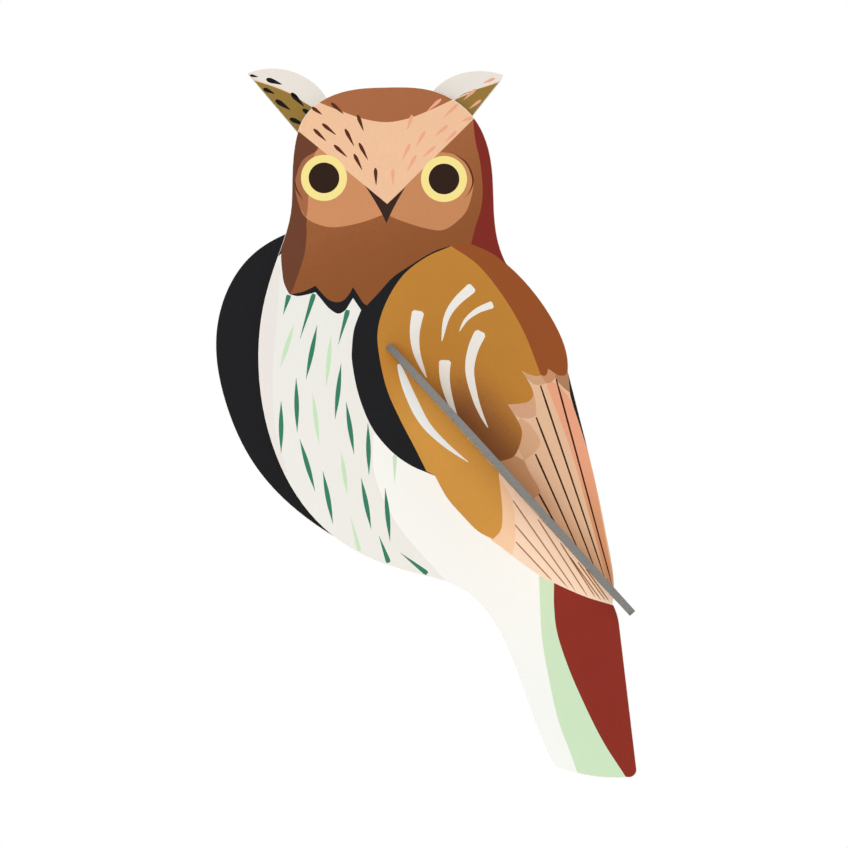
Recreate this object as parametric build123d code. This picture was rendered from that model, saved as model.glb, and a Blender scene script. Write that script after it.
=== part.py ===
"""Slot-together card owl: a wall figure of printed greyboard plates.

The figure plate carries everything. The ear plate sits behind the head on foam pads, the far wing turns on a
snap rivet behind the shoulder, and the near wing's blade stands square to the figure on a paper fold, with
three tabs that are wedged behind the plate. A strap with an eyelet hangs it on a nail.

Frame: millimetres, +X to the viewer's right, +Y from the viewer to the wall, +Z up. The origin is the middle
of the hanging eyelet.
"""

import os
from math import cos, radians, sin

from build123d import *

os.makedirs("parts", exist_ok=True)

# ---- driving dimensions ----
PAPER = 0.15                    # printed sheet
BOARD = 1.7                     # greyboard core
PLATE = BOARD + 2 * PAPER       # a laminated plate
FRONT_TO_EYELET = 8.6           # from the figure's front face back to the middle of the eyelet
REAR_GAP = 1.0                  # between the figure's back and the ear plate
WALL_DEPTH = 10.0               # from the figure's front face back to the wall

# near wing's blade, whose fold runs down to the right across the near wing
BLADE_TOP = (-10.3, -67.4)      # upper end of the blade's middle line, x and z
BLADE_DROP = 47.7               # degrees below level
BLADE_LENGTH = 100.0
FOLD_GAP = 0.3                  # from the figure's face to the blade's lower edge
TAB_PLACES = (14.0, 40.0, 66.0)
TAB_WIDTH = 12.0
TAB_REACH = 7.5                 # tab's length, measured from the figure's front face
TAB_CHAMFER = 1.2
SLOT_PLAY = 0.15
KEY_WIDTH = 5.0
KEY_THICK = 2.0
KEY_LENGTH = 18.0
KEY_HEAD = 4.0                  # length of the key's head
KEY_HEAD_STEP = 1.2             # head wider than the shank, each side
KEY_END_TAPER = 0.8             # far end narrower than the shank, each side
KEY_PLAY = 0.1

# far wing's snap rivet
PIVOT = (-35.0, -44.0)
PIVOT_GAP = 0.3                 # wing plate to stud and to cap
STUD_BASE_RADIUS = 6.0
STUD_BASE = 0.8
STUD_RADIUS = 2.5
STUD_PLAY = 0.05                # running clearance round the stud
NECK_RADIUS = 1.4
CAP_RADIUS = 5.5
CAP = 1.0
CAP_ROUND = 0.5

# hanger
STRAP_WIDTH = 10.0
STRAP = 0.8
STRAP_CORNER = 3.0
STRAP_BEND = 0.3                # shift that keeps the strap's thickness through its bends
STRAP_FOOT = (-21.0, -11.0)     # bottom and top of the glued foot
STRAP_HEAD = (-6.5, 3.6)        # bottom and top of the raised end
EYELET_BORE = 2.0
EYELET_WALL = 0.5
EYELET_FLANGE = 3.4
EYELET_ROLL = 0.3

# soft pads
EAR_PAD = (10.0, 7.0)
EAR_PAD_PLACES = ((-26.0, -7.0), (-11.0, -6.0), (6.0, -5.0))
BUMPER_RADIUS = 5.0
BUMPER_PLACES = ((27.0, -57.0), (2.0, -118.0), (47.0, -177.0))

# depth of each plate's front, behind the figure's front face
FIGURE_LAYER = 0.0
EAR_LAYER = PLATE + REAR_GAP
FAR_WING_LAYER = PLATE + STUD_BASE + PIVOT_GAP


# ---- outlines, seen from the front ----
def closed_face(*stretches):
    """A face bounded by stretches that join end to end: 2 points a line, 3 an arc, more a smooth curve."""
    edges = []
    for points in stretches:
        if len(points) == 2:
            edges.append(Line(*points))
        elif len(points) == 3:
            edges.append(ThreePointArc(*points))
        else:
            edges.append(Spline(*points))
    return make_face(edges)


def figure_outline():
    """Head, near wing and tail in one outline, clockwise from the left brow."""
    brow = (-35.6, -7.4)
    shoulder = (22.8, -44.4)
    wing_bend = (40.0, -74.5)
    wing_tip = (52.5, -139.5)
    tail_top = (54.4, -145.6)
    tail_right = (59.2, -185.8)
    tail_bottom = (56.6, -188.2)
    tail_left = (36.4, -184.9)
    head = [brow, (-31.4, -0.6), (-23.5, 3.6), (-10.6, 5.0), (2.2, 4.0), (13.7, -3.6), (18.6, -16.5),
            (19.4, -31.0), shoulder]
    near_wing = [shoulder, (27.6, -49.0), (32.9, -55.6), (37.1, -62.6), (39.4, -68.4), wing_bend]
    wing_edge = [wing_bend, (45.7, -96.9), (48.8, -110.3), (51.4, -123.5), (52.8, -132.5), wing_tip]
    rump = [wing_tip, (53.7, -142.3), tail_top]
    tail_side = [tail_top, tail_right]
    tail_corner = [tail_right, (58.5, -187.7), tail_bottom]
    tail_end = [tail_bottom, (46.5, -187.8), tail_left]
    belly_and_cheek = [tail_left, (30.9, -172.2), (24.8, -155.5), (18.6, -143.3), (10.5, -135.4),
                       (-1.7, -131.3), (-18.5, -125.3), (-31.2, -115.5), (-41.7, -98.0), (-46.6, -74.0),
                       (-45.3, -56.3), (-41.3, -42.6), (-37.7, -30.5), (-37.2, -20.4), brow]
    return closed_face(head, near_wing, wing_edge, rump, tail_side, tail_corner, tail_end, belly_and_cheek)


def ear_outline():
    """Both ear tufts and the bridge that joins them behind the head."""
    left_tip = (-49.9, 9.2)
    left_root = (-27.0, 1.0)
    right_root = (1.4, 3.2)
    right_tip = (21.9, 8.8)
    right_tip_low = (21.2, 7.2)
    right_jaw = (12.6, -3.6)
    left_jaw = (-35.6, -7.7)
    left_top = [left_tip, (-43.2, 10.6), (-33.6, 8.1), left_root]
    bridge_top = [left_root, (-12.0, -0.5), right_root]
    right_top = [right_root, (8.1, 8.5), (15.0, 9.9), right_tip]
    right_end = [right_tip, right_tip_low]
    right_low = [right_tip_low, right_jaw]
    bridge_low = [right_jaw, (-10.0, -23.5), left_jaw]
    left_low = [left_jaw, left_tip]
    return closed_face(left_top, bridge_top, right_top, right_end, right_low, bridge_low, left_low)


def far_wing_outline():
    """Leaf shape whose inner half is hidden behind the chest."""
    top = (-27.5, -39.5)
    tip = (-22.6, -122.6)
    outer = [top, (-32.5, -34.6), (-40.2, -36.3), (-50.2, -43.3), (-57.3, -56.3), (-58.8, -66.5),
             (-56.1, -83.2), (-47.6, -101.3), (-33.4, -115.7), tip]
    inner = [tip, (-29.5, -104.0), (-32.5, -84.0), (-30.5, -60.0), top]
    return closed_face(outer, inner)


def blade_outline():
    """The blade from the side: x runs along the fold from its upper end, y is the height above the figure."""
    heel = (0.0, FOLD_GAP)
    front_low = (0.0, 4.0)
    tip_top = (BLADE_LENGTH - 3.0, 19.5)
    tip_low = (BLADE_LENGTH - 1.2, 13.2)
    notch = (BLADE_LENGTH - 8.0, 11.2)
    lobe = (BLADE_LENGTH - 5.2, 4.6)
    toe = (BLADE_LENGTH - 12.0, FOLD_GAP)
    crown = [front_low, (5.0, 14.0), (18.0, 28.0), (38.0, 37.0), (60.0, 34.5), (80.0, 27.0), tip_top]
    tip = [tip_top, (BLADE_LENGTH, 16.6), tip_low]
    under_tip = [tip_low, (BLADE_LENGTH - 4.0, 11.2), notch]
    lower_lobe = [notch, (BLADE_LENGTH - 5.2, 8.6), lobe]
    return closed_face([heel, front_low], crown, tip, under_tip, lower_lobe, [lobe, toe], [toe, heel])


# ---- placing ----
def slab(face, depth, thickness):
    """Extrude a front-view face into a slab whose front is at the given depth behind the figure's face."""
    back = Plane.XZ.offset(FRONT_TO_EYELET - depth - thickness)
    return extrude(back * face, amount=thickness)


def disc(place, radius, depth, thickness):
    return slab(Pos(*place) * Circle(radius), depth, thickness)


def blade_plane(side):
    """Plane of the blade, x along the fold and y out of the figure, moved sideways from the middle line."""
    drop = radians(BLADE_DROP)
    along = Vector(cos(drop), 0, -sin(drop))
    out = Vector(0, -1, 0)
    top = Vector(BLADE_TOP[0], -FRONT_TO_EYELET, BLADE_TOP[1])
    return Plane(origin=top, x_dir=along, z_dir=along.cross(out)).offset(side)


def blade_slab(face, side, thickness):
    """Extrude a face in the blade's own view; sides count towards the lower left from the middle line."""
    return extrude(blade_plane(side) * face, amount=thickness)


def laminate(name, face, depth):
    """The printed sheets and the board between them."""
    return {
        f"{name}_front_sheet": slab(face, depth, PAPER),
        f"{name}_board": slab(face, depth + PAPER, BOARD),
        f"{name}_back_sheet": slab(face, depth + PAPER + BOARD, PAPER),
    }


# ---- figure, ears and far wing ----
def figure():
    face = figure_outline()
    drop = -BLADE_DROP
    slot_long = TAB_WIDTH + 2 * SLOT_PLAY
    slot_wide = PLATE + 2 * SLOT_PLAY
    for place in TAB_PLACES:
        face -= Pos(*BLADE_TOP) * Rot(0, 0, drop) * Pos(place, 0) * Rectangle(slot_long, slot_wide)
    return laminate("figure", face, FIGURE_LAYER)


def far_wing():
    hole = Pos(*PIVOT) * Circle(STUD_RADIUS + STUD_PLAY)
    return laminate("far_wing", far_wing_outline() - hole, FAR_WING_LAYER)


def ear_foam_pads():
    pads = [slab(Pos(*place) * RectangleRounded(*EAR_PAD, 1.0), PLATE, REAR_GAP) for place in EAR_PAD_PLACES]
    return Compound(children=pads)


# ---- blade, tabs and keys ----
def blade():
    face = blade_outline()
    half = PLATE / 2
    return {
        "blade_board": blade_slab(face, -half + PAPER, BOARD),
        "blade_left_sheet": blade_slab(face, half - PAPER, PAPER),
        "blade_right_sheet": blade_slab(face, -half, PAPER),
    }


def tab_face(place):
    """One tab from the side, with the hole for its key just behind the figure."""
    tab = Pos(place, -TAB_REACH / 2) * Rectangle(TAB_WIDTH, TAB_REACH)
    tab = chamfer(tab.vertices().group_by(Axis.Y)[0], TAB_CHAMFER)
    hole_high = KEY_THICK + 2 * KEY_PLAY
    hole = Rectangle(KEY_WIDTH + 2 * KEY_PLAY, hole_high)
    return tab - Pos(place, -PLATE - hole_high / 2 + KEY_PLAY) * hole


def blade_tabs():
    low_side = -PLATE / 2 + PAPER
    return Compound(children=[blade_slab(tab_face(place), low_side, BOARD) for place in TAB_PLACES])


def blade_hinge_paper():
    return Compound(children=[blade_slab(tab_face(place), -PLATE / 2, PAPER) for place in TAB_PLACES])


def lock_key(place):
    """A wedge key flat on the figure's back, square to the blade and wider at its head."""
    half_in = KEY_WIDTH / 2
    half_head = half_in + KEY_HEAD_STEP
    half_end = half_in - KEY_END_TAPER
    end = KEY_LENGTH / 2
    neck = end - KEY_HEAD
    outline = Polyline((-end, -half_end), (PLATE, -half_in), (neck, -half_in), (neck, -half_head),
                       (end, -half_head), (end, half_head), (neck, half_head), (neck, half_in),
                       (PLATE, half_in), (-end, half_end), close=True)
    across_blade = Pos(*BLADE_TOP) * Rot(0, 0, -BLADE_DROP) * Pos(place, 0) * Rot(0, 0, 90)
    return slab(across_blade * make_face(outline), PLATE, KEY_THICK)


# ---- snap rivet ----
def wing_pivot_stud():
    shaft_end = FAR_WING_LAYER + PLATE + PIVOT_GAP
    base = disc(PIVOT, STUD_BASE_RADIUS, PLATE, STUD_BASE)
    shaft = disc(PIVOT, STUD_RADIUS, PLATE + STUD_BASE, shaft_end - PLATE - STUD_BASE)
    neck = disc(PIVOT, NECK_RADIUS, shaft_end, CAP)
    return base + shaft + neck


def wing_pivot_cap():
    ring = Pos(*PIVOT) * (Circle(CAP_RADIUS) - Circle(NECK_RADIUS))
    cap = slab(ring, FAR_WING_LAYER + PLATE + PIVOT_GAP, CAP)
    rim = cap.edges().filter_by(GeomType.CIRCLE).group_by(SortBy.RADIUS)[-1].group_by(Axis.Y)[-1]
    return fillet(rim, CAP_ROUND)


# ---- hanger and bumpers ----
def hanger_strap():
    """Card strip with a glued foot and a raised end, seen from the side and then made wide."""
    foot_front = EAR_LAYER + PLATE - FRONT_TO_EYELET
    head_front = -STRAP / 2
    side = Polyline(
        (foot_front, STRAP_FOOT[0]), (foot_front, STRAP_FOOT[1]), (head_front, STRAP_HEAD[0]),
        (head_front, STRAP_HEAD[1]), (head_front + STRAP, STRAP_HEAD[1]),
        (head_front + STRAP, STRAP_HEAD[0] - STRAP_BEND), (foot_front + STRAP, STRAP_FOOT[1] - STRAP_BEND),
        (foot_front + STRAP, STRAP_FOOT[0]), close=True)
    strip = extrude(Plane.YZ.offset(-STRAP_WIDTH / 2) * make_face(side), amount=STRAP_WIDTH)
    corners = strip.edges().filter_by(Axis.Y).group_by(Axis.Z)[-1]
    strip = fillet(corners, STRAP_CORNER)
    return strip - disc((0, 0), EYELET_BORE + EYELET_WALL, FRONT_TO_EYELET - STRAP, 2 * STRAP)


def hanger_eyelet():
    """Rolled eyelet: a barrel through the strap with a flange on each side."""
    front = FRONT_TO_EYELET - STRAP / 2 - EYELET_ROLL
    bore = Circle(EYELET_BORE)
    barrel = slab(Circle(EYELET_BORE + EYELET_WALL) - bore, front, STRAP + 2 * EYELET_ROLL)
    flange = Circle(EYELET_FLANGE) - bore
    return barrel + slab(flange, front, EYELET_ROLL) + slab(flange, FRONT_TO_EYELET + STRAP / 2, EYELET_ROLL)


def wall_pads():
    pads = [disc(place, BUMPER_RADIUS, PLATE, WALL_DEPTH - PLATE) for place in BUMPER_PLACES]
    return Compound(children=pads)


# ---- all nodes ----
def build():
    nodes = figure() | laminate("ear", ear_outline(), EAR_LAYER) | far_wing() | blade()
    nodes["blade_tabs"] = blade_tabs()
    nodes["blade_hinge_paper"] = blade_hinge_paper()
    for name, place in zip(("upper", "middle", "lower"), TAB_PLACES):
        nodes[f"lock_key_{name}"] = lock_key(place)
    nodes["ear_foam_pads"] = ear_foam_pads()
    nodes["wing_pivot_stud"] = wing_pivot_stud()
    nodes["wing_pivot_cap"] = wing_pivot_cap()
    nodes["hanger_strap"] = hanger_strap()
    nodes["hanger_eyelet"] = hanger_eyelet()
    nodes["wall_pads"] = wall_pads()
    return nodes


for node_name, shape in build().items():
    export_step(shape, f"parts/{node_name}.step")
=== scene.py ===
"""Looks of a slot-together card owl: printed sheets, ink marks, greyboard, foam, rivet and eyelet.

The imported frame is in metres: +X to the viewer's right, +Y towards the wall, +Z up. Prints are drawn in
millimetres on a sheet's own plane and turned to metres when they are placed.
"""

import math
import random

import bpy
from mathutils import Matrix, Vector
from mathutils.geometry import delaunay_2d_cdt


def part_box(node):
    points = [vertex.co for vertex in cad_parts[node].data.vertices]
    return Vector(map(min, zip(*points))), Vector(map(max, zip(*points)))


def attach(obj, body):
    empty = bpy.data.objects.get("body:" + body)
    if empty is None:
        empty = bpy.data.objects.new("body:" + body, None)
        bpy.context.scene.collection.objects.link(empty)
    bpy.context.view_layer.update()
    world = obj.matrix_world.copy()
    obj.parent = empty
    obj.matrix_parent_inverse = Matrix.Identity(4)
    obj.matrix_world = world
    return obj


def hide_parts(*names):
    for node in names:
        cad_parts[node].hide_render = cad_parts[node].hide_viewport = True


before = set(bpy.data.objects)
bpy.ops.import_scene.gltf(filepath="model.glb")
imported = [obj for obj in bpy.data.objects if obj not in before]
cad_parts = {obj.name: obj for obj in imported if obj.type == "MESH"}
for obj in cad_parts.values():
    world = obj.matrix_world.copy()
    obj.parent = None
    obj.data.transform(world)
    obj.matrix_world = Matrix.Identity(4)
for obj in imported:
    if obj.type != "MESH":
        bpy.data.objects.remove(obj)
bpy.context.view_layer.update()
MM = 0.001

# ---- sizes in millimetres ----
RIM = 0.1                  # pressed edge of a die-cut sheet
SLOT_RIM = 0.03            # the same round a punched slot
SLOT_LIP = 0.14            # the front paper is slit tighter than the board, and closes on the tab
RIM_DROP = 0.05            # how far the knife presses that edge down
PAPER = 0.15
PLATE = 2.0
CURVE_STEP = 1.0           # spacing of points along a drawn curve
INK_RISE = 0.035           # height of an ink mark, half of it sunk in the paper
SAME_SPOT = 1e-4           # points closer than this are one

# ---- directions, and the blade's own plane ----
RIGHT = Vector((1, 0, 0))
UP = Vector((0, 0, 1))
TO_VIEWER = Vector((0, -1, 0))
BLADE_DROP = math.radians(47.7)
BLADE_TOP = Vector((-10.3, 0.0, -67.4))
ALONG = Vector((math.cos(BLADE_DROP), 0, -math.sin(BLADE_DROP)))
LOWER_LEFT = ALONG.cross(TO_VIEWER)
FACE_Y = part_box("figure_front_sheet")[0].y / MM


# ---- small helpers ----
def linear(hex_colour):
    """sRGB hex to linear RGBA."""
    channels = [int(hex_colour[i:i + 2], 16) / 255 for i in (1, 3, 5)]
    toned = [c / 12.92 if c <= 0.04045 else ((c + 0.055) / 1.055) ** 2.4 for c in channels]
    return (*toned, 1.0)


def add(tree, kind, inputs=None, **settings):
    """Add a node, set its properties, and fill or link its inputs by name or number.

    A node given for an input stands for its first output.
    """
    node = tree.nodes.new(kind)
    for name, value in settings.items():
        setattr(node, name, value)
    for key, value in (inputs or {}).items():
        socket = node.inputs[key]
        if isinstance(value, bpy.types.Node):
            value = value.outputs[0]
        if isinstance(value, bpy.types.NodeSocket):
            tree.links.new(value, socket)
        else:
            socket.default_value = value
    return node


def arc_points(a, b, c):
    """Points from a to c on the circle through a, b and c."""
    (ax, ay), (bx, by), (cx, cy) = a, b, c
    d = 2 * (ax * (by - cy) + bx * (cy - ay) + cx * (ay - by))
    a2, b2, c2 = ax * ax + ay * ay, bx * bx + by * by, cx * cx + cy * cy
    ux = (a2 * (by - cy) + b2 * (cy - ay) + c2 * (ay - by)) / d
    uy = (a2 * (cx - bx) + b2 * (ax - cx) + c2 * (bx - ax)) / d
    radius = math.hypot(ax - ux, ay - uy)
    start, mid, end = (math.atan2(y - uy, x - ux) for x, y in (a, b, c))
    turn = (end - start) % math.tau
    if (mid - start) % math.tau > turn:
        turn -= math.tau
    count = max(4, int(abs(turn) * radius / CURVE_STEP))
    angles = [start + turn * i / count for i in range(count + 1)]
    return [(ux + radius * math.cos(t), uy + radius * math.sin(t)) for t in angles]


def smooth_points(points):
    """Points on a Catmull-Rom curve through the given ones."""
    ends = [tuple(2 * p - q for p, q in zip(points[0], points[1]))]
    tail = [tuple(2 * p - q for p, q in zip(points[-1], points[-2]))]
    ctrl = [Vector(p) for p in ends + list(points) + tail]
    out = []
    for i in range(1, len(ctrl) - 2):
        p0, p1, p2, p3 = ctrl[i - 1:i + 3]
        count = max(3, int((p2 - p1).length / CURVE_STEP))
        for k in range(count):
            t = k / count
            spot = (p1 * 2 + (p2 - p0) * t + (p0 * 2 - p1 * 5 + p2 * 4 - p3) * t ** 2
                    + (p1 * 3 - p0 - p2 * 3 + p3) * t ** 3) / 2
            out.append(tuple(spot))
    out.append(tuple(points[-1]))
    return out


def shape(*stretches):
    """Closed outline from stretches that join end to end.

    A tuple of points is a run of straight lines. A list is a line for 2 points, an arc for 3, and a smooth
    curve for more.
    """
    out = []
    for points in stretches:
        if isinstance(points, tuple) or len(points) == 2:
            run = list(points)
        elif len(points) == 3:
            run = arc_points(*points)
        else:
            run = smooth_points(points)
        out += run[:-1]
    return out


def ring(centre, radius, count=48):
    """Outline of a circle."""
    return [(centre[0] + radius * math.cos(math.tau * i / count),
             centre[1] + radius * math.sin(math.tau * i / count)) for i in range(count)]


def inside(point, outline):
    """Even-odd test of a point against a closed outline."""
    x, y = point
    hit = False
    for (x1, y1), (x2, y2) in zip(outline, outline[1:] + outline[:1]):
        if (y1 > y) != (y2 > y) and x < x1 + (y - y1) * (x2 - x1) / (y2 - y1):
            hit = not hit
    return hit


def new_object(name, verts, faces, materials, indices=None):
    """A piece from its mesh data. indices gives each face the number of its material."""
    mesh = bpy.data.meshes.new(name)
    mesh.from_pydata(verts, [], faces)
    for material in materials:
        mesh.materials.append(material)
    if indices:
        mesh.polygons.foreach_set("material_index", indices)
    mesh.validate()
    obj = bpy.data.objects.new(name, mesh)
    bpy.context.scene.collection.objects.link(obj)
    return obj


# ---- planes that prints are drawn on ----
class Plane:
    """A flat drawing plane, in millimetres: x along ex, y along ey, and lift out of the printed face."""

    def __init__(self, origin, ex, ey, out):
        self.origin, self.ex, self.ey, self.out = origin, ex, ey, out
        self.flipped = ex.cross(ey).dot(out) < 0

    def place(self, point, lift=0.0):
        return (self.origin + self.ex * point[0] + self.ey * point[1] + self.out * lift) * MM

    def flat(self, spot):
        rest = Vector(spot) / MM - self.origin
        return (rest.dot(self.ex), rest.dot(self.ey))


def front_plane(node):
    return Plane(Vector((0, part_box(node)[0].y / MM, 0)), RIGHT, UP, TO_VIEWER)


def back_plane(node):
    return Plane(Vector((0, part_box(node)[1].y / MM, 0)), RIGHT, UP, -TO_VIEWER)


def blade_plane(side):
    """Side 1 is the blade's lower left face and -1 its upper right one."""
    out = LOWER_LEFT * side
    origin = Vector((BLADE_TOP.x, FACE_Y, BLADE_TOP.z)) + out * PLATE / 2
    return Plane(origin, ALONG, TO_VIEWER, out)


# ---- printed sheets ----
FACING = 0.999             # cosine between a face's normal and its plane's that counts as the same way
SHARPEST = 0.35            # keeps an offset corner from running off to a spike


def edge_loops(pairs):
    """Chain directed point pairs into closed loops."""
    after = dict(pairs)
    loops = []
    while after:
        start, spot = after.popitem()
        loop = [start]
        while spot != start:
            loop.append(spot)
            spot = after.pop(spot)
        loops.append(loop)
    return loops


def open_edges(faces):
    """Directed edges that only one face uses."""
    seen = set()
    for face in faces:
        seen.update(zip(face, face[1:] + face[:1]))
    return [(a, b) for a, b in seen if (b, a) not in seen]


def cut_outlines(node, plane):
    """The die-cut outlines of a CAD sheet, seen on its printed face, in millimetres."""
    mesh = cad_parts[node].data
    faces = []
    for polygon in mesh.polygons:
        if polygon.normal.dot(plane.out) > FACING:
            flat = [plane.flat(mesh.vertices[i].co) for i in polygon.vertices]
            faces.append([(round(x, 3), round(y, 3)) for x, y in flat])
    return edge_loops(open_edges(faces))


def offset_loop(loop, distance):
    """Move a closed loop to its left by a distance, keeping its corners."""
    moved = []
    count = len(loop)
    for i, point in enumerate(loop):
        here = Vector(point)
        back = (here - Vector(loop[i - 1])).normalized()
        ahead = (Vector(loop[(i + 1) % count]) - here).normalized()
        left = Vector((-back.y - ahead.y, back.x + ahead.x))
        reach = max(left.length_squared / 2, SHARPEST)
        moved.append(tuple(here + left * distance / reach))
    return moved


def span(loop):
    """Width plus height of a loop."""
    return sum(max(p[k] for p in loop) - min(p[k] for p in loop) for k in (0, 1))


def box_of(outline):
    xs, ys = zip(*outline)
    return min(xs), max(xs), min(ys), max(ys)


def sheet_mesh(name, node, plane, fields, core, lip):
    """A printed sheet: colour fields in one flat partition, a pressed rim and the cut edge of its stock."""
    side = -1 if plane.flipped else 1
    found = sorted(cut_outlines(node, plane), key=span, reverse=True)
    slots = len(found) - 1
    rims = [RIM] + [SLOT_RIM] * slots
    steps_in = [RIM] + [SLOT_RIM - lip] * slots
    cuts = [offset_loop(loop, step * side) for loop, step in zip(found, steps_in)]
    points, edges = [], []
    for loop in cuts + [outline for outline, _ in fields if outline]:
        first = len(points)
        points += [Vector(p) for p in loop]
        edges += [(first + i, first + (i + 1) % len(loop)) for i in range(len(loop))]
    spots, _, triangles, *_ = delaunay_2d_cdt(points, edges, [], 0, SAME_SPOT)
    materials = [core] + [ink for _, ink in fields] + [BOARD]
    boxes = [None] + [box_of(outline) for outline, _ in fields[1:]]
    kept, inks = [], []
    for triangle in triangles:
        middle = sum((spots[i] for i in triangle), Vector((0, 0))) / 3
        if sum(inside(middle, loop) for loop in cuts) % 2 == 0:
            continue
        ink = 1
        for k in range(len(fields) - 1, 0, -1):
            low_x, high_x, low_y, high_y = boxes[k]
            if not (low_x < middle.x < high_x and low_y < middle.y < high_y):
                continue
            if inside(middle, fields[k][0]):
                ink = k + 1
                break
        kept.append(list(triangle))
        inks.append(ink)
    used = sorted({i for t in kept for i in t})
    renumbered = {old: new for new, old in enumerate(used)}
    kept = [[renumbered[i] for i in t] for t in kept]
    flat = [tuple(spots[i]) for i in used]
    count = len(flat)
    verts = [plane.place(p) for p in flat] + [plane.place(p, -PAPER) for p in flat]
    faces = kept + [[i + count for i in reversed(t)] for t in kept]
    indices = inks + [0] * len(kept)
    loops = edge_loops(open_edges(kept))
    loops.sort(key=lambda loop: span([flat[i] for i in loop]), reverse=True)
    for loop, rim in zip(loops, rims):
        outer = offset_loop([flat[i] for i in loop], -rim)
        first = len(verts)
        size = len(loop)
        edge = 0 if rim == RIM else len(materials) - 1
        verts += [plane.place(p, -RIM_DROP) for p in outer] + [plane.place(p, -PAPER) for p in outer]
        for i in range(size):
            j = (i + 1) % size
            top, low = first + i, first + size + i
            top_next, low_next = first + j, first + size + j
            faces += [[loop[j], loop[i], top, top_next], [top_next, top, low, low_next],
                      [loop[i] + count, loop[j] + count, low_next, low]]
            indices += [edge, edge, edge]
    if plane.flipped:
        faces = [list(reversed(face)) for face in faces]
    return new_object(name, verts, faces, materials, indices)


def add_sheet(node, body, plane, fields, core, lip=0.0):
    """Replace a CAD sheet by its print. core is the stock that shows on its cut edge."""
    piece = sheet_mesh(f"{node}_print", node, plane, fields, core, lip)
    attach(piece, body)
    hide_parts(node)


# ---- ink marks ----
POINTEDNESS = 1.25         # above 1, a stroke pointed at both ends swells later
THIN_END = 0.06            # part of its width that a stroke keeps at a pointed end


def ribbon_tree():
    """Edges to smooth tapered strokes of ink, with named inputs for their shape."""
    tree = bpy.data.node_groups.new("ink_strokes", "GeometryNodeTree")
    sockets = tree.interface
    sockets.new_socket("Strokes", in_out="INPUT", socket_type="NodeSocketGeometry")
    kinds = {"Blunt start": "Float", "Nose": "Float", "Tail power": "Float", "Rise": "Float",
             "Points": "Int", "Ink": "Material"}
    keys = {}
    for label, kind in kinds.items():
        keys[label] = sockets.new_socket(label, in_out="INPUT", socket_type=f"NodeSocket{kind}").identifier
    sockets.new_socket("Marks", in_out="OUTPUT", socket_type="NodeSocketGeometry")
    given = add(tree, "NodeGroupInput").outputs
    curve = add(tree, "GeometryNodeMeshToCurve", {0: given["Strokes"]})
    smooth = add(tree, "GeometryNodeCurveSplineType", {"Curve": curve}, spline_type="CATMULL_ROM")
    points = add(tree, "GeometryNodeResampleCurve", {"Curve": smooth, "Count": given["Points"]})
    level = add(tree, "GeometryNodeSetCurveNormal", {"Curve": points}, mode="Z_UP")

    # width along a stroke: pointed at both ends, or blunt at its start with a tapering tail
    along = add(tree, "GeometryNodeSplineParameter").outputs["Factor"]
    rest = add(tree, "ShaderNodeMath", {0: 1.0, 1: along}, operation="SUBTRACT")
    hump = add(tree, "ShaderNodeMath", {0: along, 1: rest}, operation="MULTIPLY")
    lens = add(tree, "ShaderNodeMath", {0: hump, 1: 4.0}, operation="MULTIPLY")
    spindle = add(tree, "ShaderNodeMath", {0: lens, 1: POINTEDNESS}, operation="POWER")
    nose = add(tree, "ShaderNodeMapRange", {"Value": along, "From Min": -0.02,
                                            "From Max": given["Nose"]})
    round_nose = add(tree, "ShaderNodeMath", {0: nose, 1: 0.5}, operation="POWER")
    tail = add(tree, "ShaderNodeMath", {0: rest, 1: given["Tail power"]}, operation="POWER")
    drop = add(tree, "ShaderNodeMath", {0: round_nose, 1: tail}, operation="MULTIPLY")
    taper = add(tree, "ShaderNodeMix", {0: given["Blunt start"], 2: spindle, 3: drop})
    kept = add(tree, "ShaderNodeMath", {0: taper, 1: THIN_END}, operation="MAXIMUM")
    width = add(tree, "GeometryNodeInputNamedAttribute", {"Name": "half_width"}, data_type="FLOAT")
    radius = add(tree, "ShaderNodeMath", {0: width, 1: kept}, operation="MULTIPLY")

    # a flat solid of that width, pressed to one thickness whatever its width is
    section = add(tree, "GeometryNodeCurvePrimitiveQuadrilateral", {"Width": 2.0, "Height": 0.2})
    solid = add(tree, "GeometryNodeCurveToMesh", {"Curve": level, "Scale": radius, "Profile Curve": section,
                                                  "Fill Caps": True})
    spot = add(tree, "ShaderNodeSeparateXYZ", {0: add(tree, "GeometryNodeInputPosition")}).outputs
    which = add(tree, "ShaderNodeMath", {0: spot[2]}, operation="SIGN")
    lift = add(tree, "ShaderNodeMath", {0: which, 1: given["Rise"]}, operation="MULTIPLY")
    flat_spot = add(tree, "ShaderNodeCombineXYZ", {0: spot[0], 1: spot[1], 2: lift})
    pressed = add(tree, "GeometryNodeSetPosition", {"Geometry": solid, "Position": flat_spot})
    flat = add(tree, "GeometryNodeSetShadeSmooth", {"Geometry": pressed, "Shade Smooth": False})
    real = add(tree, "GeometryNodeRealizeInstances", {0: flat})
    inked = add(tree, "GeometryNodeSetMaterial", {"Geometry": real, "Material": given["Ink"]})
    add(tree, "NodeGroupOutput", {0: inked})
    return tree, keys


STROKE_TREE, STROKE_INPUTS = ribbon_tree()


def same_width(width, lines):
    """Strokes of one width."""
    return [(width, list(line)) for line in lines]


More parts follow.
